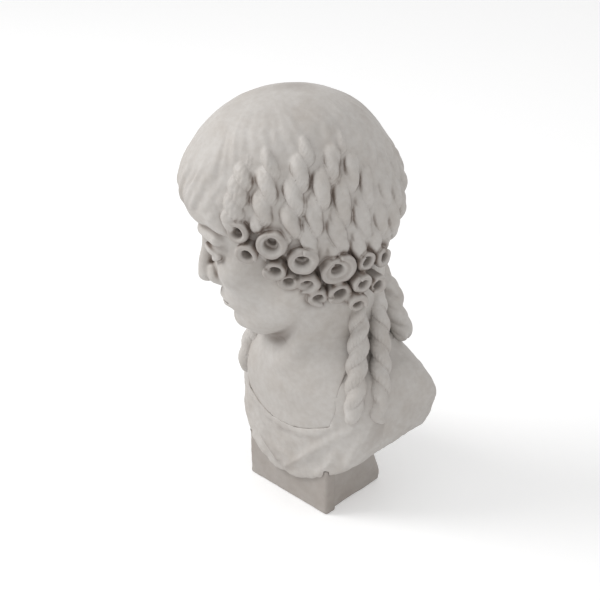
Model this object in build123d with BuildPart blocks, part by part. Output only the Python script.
from build123d import *
import os
from math import cos, radians, sin

# A life-size marble portrait bust of a woman, her head turned to her right and bowed.
# Millimetres. The origin is the middle of the base's underside, +Z is up, the chest and the tablet
# face -Y, and the sitter's left is towards +X.
# It goes together as a pieced marble: the head, neck and bare upper chest are one block, let into the
# draped chest along the neckline; the shoulder ringlets and the tail at the nape are let in and pinned;
# the chest stands on the pillar of a back support, with a tablet pinned across the front.

# ---- Driving dimensions -------------------------------------------------------------------------------

# Base.
tablet_width = 120.0
tablet_thickness = 16.0
tablet_height = 56.0
base_depth = 93.0
support_width = 112.0
support_height = 66.0
support_heel = 10.0
support_top_depth = 46.0
pillar_width = 68.0
pillar_depth = 46.0
pillar_front_y = -24.0
pillar_top = 112.0
base_edge = 1.6

# Draped chest by level: height, half width and depth of the front, shoulder's half width and y, back's y.
chest_centre_y = -3.5
chest_levels = (
    (20.0, 100.0, 52.0, 115.0, 66.0, 79.0),
    (128.0, 100.0, 52.0, 115.0, 66.0, 80.0),
    (144.0, 98.0, 50.0, 110.0, 66.0, 80.0),
    (153.0, 93.0, 47.5, 99.0, 65.0, 79.0),
    (161.0, 83.0, 42.5, 84.0, 62.0, 77.0),
    (169.0, 70.0, 36.0, 68.0, 57.0, 73.0),
    (177.0, 56.0, 28.0, 52.0, 51.0, 68.0),
)
hem_middle = 150.0
hem_half_width = 117.0
hem_drop = 120.0
wall = 22.0
hollow_top = 112.0
drape_step = 2.0

# Neckline, and how far the bare block is let in behind it.
neckline_bottom = 97.0
neckline_corner = (60.0, 112.0)
neckline_half_width = 66.0
bib_depth = 14.0
tenon_foot = 148.0
tenon_back_y = 68.5
bedding = 0.3

# Neck, as (x, y, z, radius), and how it widens into the chest, as (height, radius).
neck_levels = (
    (5.0, 12.0, 152.0, 56.0),
    (5.0, 12.0, 186.0, 56.0),
    (7.0, 11.0, 215.0, 55.5),
    (11.0, 10.0, 250.0, 56.0),
    (14.0, 10.0, 275.0, 55.0),
)
neck_flare = ((158.0, 73.0), (172.0, 62.5), (190.0, 55.5))

# Head: its own frame has x towards the face, y towards the sitter's left ear and z to the crown.
head_centre = (-17.0, -20.5, 346.0)
head_turn = 45.0
head_bow = 14.0
hair_length = 115.0
hair_width = 91.0
hair_height = 109.5
hair_floor = -104.0
fringe_back = 54.0

# The hair is set in by the bed's depth where the locks lie, and by less from its foot to its top level.
lock_bed = 7.5
bed_foot = 30.0
bed_top = 66.0
bed_least = 0.12

# Skull and face by level in the head's frame: (level, middle, half length, half width).
skull_levels = (
    (60.0, 0.0, 88.0, 70.0),
    (40.0, 0.0, 98.0, 76.0),
    (-10.0, 4.0, 96.0, 72.0),
    (-40.0, 14.0, 84.0, 68.0),
    (-75.0, 28.0, 66.0, 60.0),
    (-105.0, 38.0, 50.0, 46.0),
    (-130.0, 48.0, 34.0, 30.0),
    (-140.0, 52.0, 20.0, 16.0),
)
nose_levels = (
    (-20.0, 90.0, 7.0, 5.5),
    (-40.0, 93.0, 10.0, 7.0),
    (-58.0, 96.0, 15.0, 9.5),
    (-68.0, 95.0, 16.0, 12.5),
    (-75.0, 92.0, 10.0, 11.0),
)
eye_spacing = 64.0
eye_level = -30.0
mouth_level = -95.0
chin_radius = 19.0

# Corkscrew locks on each side of the head: azimuth and elevation on the hair's ellipsoid, top to tip.
side_locks = (
    ((76.0, 43.0), (61.0, 9.0)),
    ((94.0, 51.0), (78.0, 4.0)),
    ((111.0, 50.0), (95.0, -8.0)),
    ((126.0, 42.0), (112.0, -18.0)),
    ((140.0, 34.0), (129.0, -30.0)),
    ((153.0, 28.0), (146.0, -38.0)),
    ((167.0, 24.0), (164.0, -42.0)),
)
lock_radius = 10.4
lock_flatness = 0.72
lock_turn = 360.0
cheek_curls = (
    (51.0, -2.0, 6.5),
    (49.0, -23.0, 6.5),
    (25.0, -17.0, 10.0),
    (0.0, -39.0, 10.0),
    (-28.0, -60.0, 12.5),
    (28.0, -44.0, 7.0),
    (3.0, -68.0, 7.5),
    (-20.0, -91.0, 7.0),
)
curl_tube = 4.0

# Ringlets on the shoulders, as the left pair's middle lines, and the tail at the nape.
front_ringlet = (
    (52.0, -4.0, 258.0),
    (62.0, -4.0, 232.0),
    (70.0, -12.0, 205.0),
    (77.0, -21.0, 178.0),
    (84.0, -29.0, 150.0),
    (85.0, -32.0, 132.0),
)
back_ringlet = (
    (60.0, 24.0, 256.0),
    (66.0, 24.0, 228.0),
    (74.0, 18.0, 203.0),
    (86.0, 7.0, 176.0),
    (95.0, -1.0, 150.0),
    (98.0, -7.0, 129.0),
)
nape_tail = (
    (42.0, 46.0, 264.0),
    (51.0, 52.0, 240.0),
    (57.0, 58.0, 212.0),
    (65.0, 65.0, 184.0),
)
ringlet_radius = 12.0
ringlet_flatness = 0.7
ringlet_turn = 520.0
tail_radius = 13.5

# Steel dowels and pins, and the grout round them.
neck_dowel_radius = 8.0
neck_dowel_span = (92.0, 202.0)
support_dowel_radius = 6.0
support_dowel_span = (84.0, 140.0)
support_dowel_spacing = 44.0
tablet_pin_radius = 4.0
tablet_pin_length = 24.0
tablet_pin_spacing = 72.0
tablet_pin_height = 25.0
ringlet_pin_radius = 2.5
ringlet_pin_length = 20.0
grout = 0.25

# ---- Places worked out from them ----------------------------------------------------------------------

front_y = -base_depth / 2
back_y = base_depth / 2
joint_y = front_y + tablet_thickness
bib_back_y = chest_centre_y - chest_levels[0][2] + bib_depth
turn = radians(head_turn)
bow = radians(head_bow)
forward = (-sin(turn) * cos(bow), -cos(turn) * cos(bow), -sin(bow))
crown = (-sin(turn) * sin(bow), -cos(turn) * sin(bow), cos(bow))
head_frame = Plane(origin=head_centre, x_dir=forward, z_dir=crown)


def in_bed(azimuth, elevation):
    """A lock's middle line in the head's frame; azimuth 0 is the face, 90 the left ear."""
    a = radians(azimuth)
    e = radians(elevation)
    return Vector(
        (hair_length - lock_bed) * cos(e) * cos(a),
        (hair_width - lock_bed) * cos(e) * sin(a),
        (hair_height - lock_bed) * sin(e),
    )


def twisted(path, radius, flatness, total_turn, steps):
    """A corkscrew lock: a flattened round that turns as it follows a wire and thins at both ends."""
    with BuildPart() as lock:
        for i in range(steps + 1):
            t = i / steps
            along = path % t
            across = Vector(1, 0, 0) - along * along.X
            plane = Plane(origin=path @ t, x_dir=across.normalized(), z_dir=along)
            girth = radius * min(1.0, 0.35 + 3.0 * t, 0.5 + 2.6 * (1 - t))
            with BuildSketch(plane):
                Ellipse(girth, girth * flatness, rotation=total_turn * t)
        loft()
    return lock.part


def channel(path, radius):
    """The round bed that a ringlet lies in."""
    with BuildPart() as bed:
        with BuildSketch(Plane(origin=path @ 0, z_dir=path % 0)):
            Circle(radius)
        sweep(path=path)
    return bed.part


def bar(start, end, radius):
    """A round bar between two points."""
    a = Vector(*start)
    b = Vector(*end)
    with BuildPart() as rod:
        with BuildSketch(Plane(origin=a, z_dir=(b - a).normalized())):
            Circle(radius)
        extrude(amount=(b - a).length)
    return rod.part


def chest_block(inset):
    """The chest as a full block, its walls set in by the inset."""
    with BuildPart() as block:
        for z, half_width, depth, shoulder_x, shoulder_y, spine_y in chest_levels:
            a = half_width - inset
            s = shoulder_x - inset
            with BuildSketch(Plane.XY.offset(z)):
                with BuildLine():
                    front = EllipticalCenterArc(
                        (0, chest_centre_y), a, depth - inset, start_angle=180, arc_size=180
                    )
                    Line(front @ 1, (s, shoulder_y))
                    ThreePointArc((s, shoulder_y), (0, spine_y - inset), (-s, shoulder_y))
                    Line((-s, shoulder_y), front @ 0)
                make_face()
        loft(ruled=True)
        for (z0, r0), (z1, r1) in zip(neck_flare, neck_flare[1:]):
            with Locations((neck_levels[0][0], neck_levels[0][1], (z0 + z1) / 2)):
                Cone(r0 - inset, r1 - inset, z1 - z0)
    return block.part


def neckline_prism(room):
    """What the bare block takes out of the chest: the bib in front and the foot of the neck behind it."""
    corner_x = neckline_corner[0] + room
    corner_z = neckline_corner[1] - room
    side = neckline_half_width + room
    with BuildPart() as prism:
        with BuildSketch(Plane.XZ.offset(80)):
            with BuildLine():
                bottom = ThreePointArc(
                    (-corner_x, corner_z), (0, neckline_bottom - room), (corner_x, corner_z)
                )
                Polyline(bottom @ 1, (side, 132), (side, 240), (-side, 240), (-side, 132), bottom @ 0)
            make_face()
        extrude(amount=-(80 + bib_back_y + room))
        with BuildSketch(Plane.XY.offset(tenon_foot - room)):
            with Locations((0, (tenon_back_y + room - 70) / 2)):
                RectangleRounded(2 * side, 70 + tenon_back_y + room, 30)
        extrude(amount=90)
    return prism.part


# ---- Steel dowels -------------------------------------------------------------------------------------

dowel_x = support_dowel_spacing / 2
pin_x = tablet_pin_spacing / 2
neck_x = neck_levels[0][0]
neck_y = neck_levels[0][1]

neck_dowel = bar(
    (neck_x, neck_y - 8, neck_dowel_span[0]),
    (neck_x, neck_y - 8, neck_dowel_span[1]),
    neck_dowel_radius,
)
neck_dowel_hole = bar(
    (neck_x, neck_y - 8, neck_dowel_span[0] - 0.5),
    (neck_x, neck_y - 8, neck_dowel_span[1] + 0.5),
    neck_dowel_radius + grout,
)
support_dowels = {}
support_dowel_holes = []
tablet_pins = {}
tablet_pin_holes = []
for side_name, side in (("left", 1), ("right", -1)):
    x = side * dowel_x
    low, high = support_dowel_span
    support_dowels[side_name] = bar((x, 8, low), (x, 8, high), support_dowel_radius)
    support_dowel_holes.append(bar((x, 8, low - 0.5), (x, 8, high + 0.5), support_dowel_radius + grout))
    x = side * pin_x
    y0 = joint_y - tablet_pin_length / 2
    y1 = joint_y + tablet_pin_length / 2
    tablet_pins[side_name] = bar((x, y0, tablet_pin_height), (x, y1, tablet_pin_height), tablet_pin_radius)
    tablet_pin_holes.append(
        bar((x, y0 - 0.5, tablet_pin_height), (x, y1 + 0.5, tablet_pin_height), tablet_pin_radius + grout)
    )

# ---- Ringlets on the shoulders and the tail at the nape -----------------------------------------------

ringlets = {}
beds = []
pins = {}
for side_name, side in (("left", 1), ("right", -1)):
    for place, line, hand in (("front", front_ringlet, 1), ("back", back_ringlet, -1)):
        shift = neck_x - side * neck_x
        path = Edge.make_spline([Vector(side * px + shift, py, pz) for px, py, pz in line])
        name = f"{side_name}_{place}_ringlet"
        ringlets[name] = twisted(
            Wire([path]), ringlet_radius, ringlet_flatness, side * hand * ringlet_turn, 16
        )
        beds.append(channel(Wire([path]), ringlet_radius + bedding))
        # The pin runs from the middle of the ringlet's lower half level into the chest.
        middle = path @ 0.68
        inward = (Vector(neck_x, 20, middle.Z) - middle).normalized()
        start = middle - inward * 3.0
        end = start + inward * ringlet_pin_length
        pins[name] = (start, end, inward)
tail_path = Edge.make_spline([Vector(*p) for p in nape_tail])
ringlets["nape_tail"] = twisted(Wire([tail_path]), tail_radius, 0.8, 330.0, 10)
beds.append(channel(Wire([tail_path]), tail_radius + bedding))
middle = tail_path @ 0.45
inward = (Vector(neck_x, 7, middle.Z) - middle).normalized()
pins["nape_tail"] = (middle - inward * 4.0, middle + inward * (ringlet_pin_length - 4.0), inward)

ringlet_pins = {}
pin_holes = {}
for name, (start, end, inward) in pins.items():
    ringlet_pins[name] = bar(start, end, ringlet_pin_radius)
    pin_holes[name] = bar(start - inward * 0.4, end + inward * 0.4, ringlet_pin_radius + grout)
    ringlets[name] = ringlets[name] - pin_holes[name]

# ---- Base: the tablet across the front and the support block behind it --------------------------------

with BuildPart() as tablet:
    with BuildSketch(Plane.XY):
        with Locations((0, (front_y + joint_y) / 2)):
            Rectangle(tablet_width, tablet_thickness)
    extrude(amount=tablet_height)
    chamfer(tablet.edges().filter_by(Axis.Z).group_by(Axis.Y)[0], base_edge)
    chamfer(tablet.edges().group_by(Axis.Z)[0].group_by(Axis.Y)[0], base_edge / 2)
    add(tablet_pin_holes, mode=Mode.SUBTRACT)

with BuildPart() as support:
    with BuildSketch(Plane.YZ):
        with BuildLine():
            heel = Polyline((joint_y, support_height), (joint_y, 0), (back_y, 0), (back_y, support_heel))
            swell = ThreePointArc(
                heel @ 1,
                (back_y - 6.0, 0.55 * support_height),
                (joint_y + support_top_depth, support_height),
            )
            Line(swell @ 1, heel @ 0)
        make_face()
    extrude(amount=support_width / 2, both=True)
    chamfer(support.edges().group_by(Axis.Z)[0].group_by(Axis.Y)[-1], base_edge)
    with BuildSketch(Plane.XY.offset(support_height)):
        with Locations((0, pillar_front_y + pillar_depth / 2)):
            RectangleRounded(pillar_width, pillar_depth, 9)
    extrude(amount=pillar_top - support_height)
    add(tablet_pin_holes + support_dowel_holes + [neck_dowel_hole], mode=Mode.SUBTRACT)

# ---- Draped chest -------------------------------------------------------------------------------------

with BuildPart() as chest:
    add(chest_block(0.0))
    # The hem: a half ellipse seen from the front, so the walls hang lowest in the middle.
    with BuildSketch(Plane.XZ.offset(80)):
        with BuildLine():
            hem = EllipticalCenterArc(
                (0, hem_middle), hem_half_width, hem_drop, start_angle=180, arc_size=180
            )
            Polyline(hem @ 1, (hem_half_width, 240), (-hem_half_width, 240), hem @ 0)
        make_face()
    extrude(amount=-170, mode=Mode.INTERSECT)
    # The hollow behind.
    with BuildSketch(Plane.XY):
        with BuildLine():
            inner = EllipticalCenterArc(
                (0, chest_centre_y),
                chest_levels[0][1] - wall,
                chest_levels[0][2] - wall,
                start_angle=180,
                arc_size=180,
            )
            Polyline(
                inner @ 1,
                (chest_levels[0][3] - wall, 90),
                (wall - chest_levels[0][3], 90),
                inner @ 0,
            )
        make_face()
    extrude(amount=hollow_top, mode=Mode.SUBTRACT)
    # Seats for the tablet and for the support block.
    with BuildSketch(Plane.XY):
        with Locations((0, (front_y + joint_y) / 2)):
            Rectangle(tablet_width + 2 * bedding, tablet_thickness + 2 * bedding)
    extrude(amount=tablet_height, mode=Mode.SUBTRACT)
    with BuildSketch(Plane.XY):
        with Locations((0, joint_y + 35)):
            Rectangle(support_width + 2 * bedding, 70 + 2 * bedding)
    extrude(amount=support_height, mode=Mode.SUBTRACT)
    add(neckline_prism(bedding), mode=Mode.SUBTRACT)
    add(support_dowel_holes + [neck_dowel_hole], mode=Mode.SUBTRACT)
    add(beds + [pin_holes[name] for name in pin_holes if name != "nape_tail"], mode=Mode.SUBTRACT)

# ---- Head, neck and bare upper chest ------------------------------------------------------------------

def hair_mass(bed):
    """The hair without its locks, set in all round by the bed, and by less towards the crown."""
    with BuildPart() as mass:
        for u in (-112.0, -80.0, -40.0, 0.0, 30.0, 50.0, 70.0, 92.0, 104.0, 108.0):
            k = (1 - (max(u, -60.0) / hair_height) ** 2) ** 0.5 * (1 + 0.0035 * min(u + 60.0, 0.0))
            low = bed * min(max((bed_top - u) / (bed_top - bed_foot), bed_least), 1.0)
            with BuildSketch(Plane.XY.offset(u - low / 6)):
                Ellipse(hair_length * k - low, hair_width * k - low)
        loft()
    return mass.part


with BuildPart() as hair:
    add(hair_mass(0.0))
    with Locations((fringe_back - 150, 0, 0)):
        Box(300, 300, 300, mode=Mode.SUBTRACT)
    add(hair_mass(lock_bed))
    # The hair's lower edge, from the brow round the cheek to the nape.
    with BuildSketch(Plane.XZ):
        with BuildLine():
            brow = Line((150, 14), (106, 14))
            cheek = ThreePointArc(brow @ 1, (60, -26), (30, -62))
            jaw = ThreePointArc(cheek @ 1, (-10, -92), (-60, hair_floor))
            Polyline(jaw @ 1, (-150, hair_floor), (-150, -160), (150, -160), brow @ 0)
        make_face()
    extrude(amount=150, both=True, mode=Mode.SUBTRACT)

with BuildPart() as face:
    for u, middle_x, length, width in skull_levels:
        with BuildSketch(Plane(origin=(middle_x, 0, u))):
            Ellipse(length, width)
    loft()
    with BuildPart(mode=Mode.PRIVATE) as nose:
        for u, middle_x, length, width in nose_levels:
            with BuildSketch(Plane(origin=(middle_x, 0, u))):
                Ellipse(length, width)
        loft()
    for y in (-eye_spacing / 2, eye_spacing / 2):
        with Locations((99, y, eye_level)):
            Sphere(15, mode=Mode.SUBTRACT)
        with Locations((75, y, eye_level)):
            Sphere(12.5)
    add(nose.part)
    with Locations((72, 0, -118)):
        Sphere(chin_radius)
    for level, half_width, height in ((mouth_level + 5.0, 23.0, 6.5), (mouth_level - 5.0, 19.0, 7.5)):
        with BuildSketch(Plane(origin=(86, 0, level), x_dir=(0, 1, 0), z_dir=(0, 0, 1))):
            with BuildLine():
                bow_line = EllipticalCenterArc((0, 0), half_width, height, start_angle=0, arc_size=180)
                Line(bow_line @ 1, bow_line @ 0)
            make_face()
        revolve(axis=Axis((86, 0, level), (0, 1, 0)), revolution_arc=360)

locks = []
for top, tip in side_locks:
    for side in (1, -1):
        span = []
        for i in range(7):
            t = i / 6
            place = in_bed(top[0] + (tip[0] - top[0]) * t, top[1] + (tip[1] - top[1]) * t)
            span.append(Vector(place.X, side * place.Y, place.Z))
        path = Wire([Edge.make_spline(span)])
        locks.append(twisted(path, lock_radius, lock_flatness, side * lock_turn, 12))

curls = []
for x, u, radius in cheek_curls:
    y = hair_width * (max(0.5, 1 - (x / hair_length) ** 2 - (u / hair_height) ** 2)) ** 0.5 - 3.0
    for side in (1, -1):
        ring = Torus(radius, curl_tube)
        curls.append(Plane(origin=(x, side * y, u), z_dir=(0, 1, 0)).location * ring)

crown_block = hair.part.fuse(face.part)
crown_block = crown_block.fuse(*locks)
crown_block = crown_block.fuse(*curls)
crown_block = head_frame.location * crown_block

with BuildPart() as neck:
    for x, y, z, radius in neck_levels:
        with BuildSketch(Plane.XY.offset(z)):
            with Locations((x, y)):
                Circle(radius)
    loft()
    add(chest_block(drape_step) & neckline_prism(0.0))
    add(neck_dowel_hole, mode=Mode.SUBTRACT)

head = neck.part.fuse(crown_block)
head = head - beds
head = head - list(pin_holes.values())

# ---- Labels and files ---------------------------------------------------------------------------------

nodes = {
    "head": head,
    "chest": chest.part,
    "tablet": tablet.part,
    "back_support": support.part,
    "neck_dowel": neck_dowel,
    "support_dowel_left": support_dowels["left"],
    "support_dowel_right": support_dowels["right"],
    "tablet_pin_left": tablet_pins["left"],
    "tablet_pin_right": tablet_pins["right"],
}
for name, solid in ringlets.items():
    nodes[name] = solid
    nodes[f"{name}_pin"] = ringlet_pins[name]

os.makedirs("parts", exist_ok=True)
for name, solid in nodes.items():
    solid.label = name
    export_step(solid, f"parts/{name}.step")
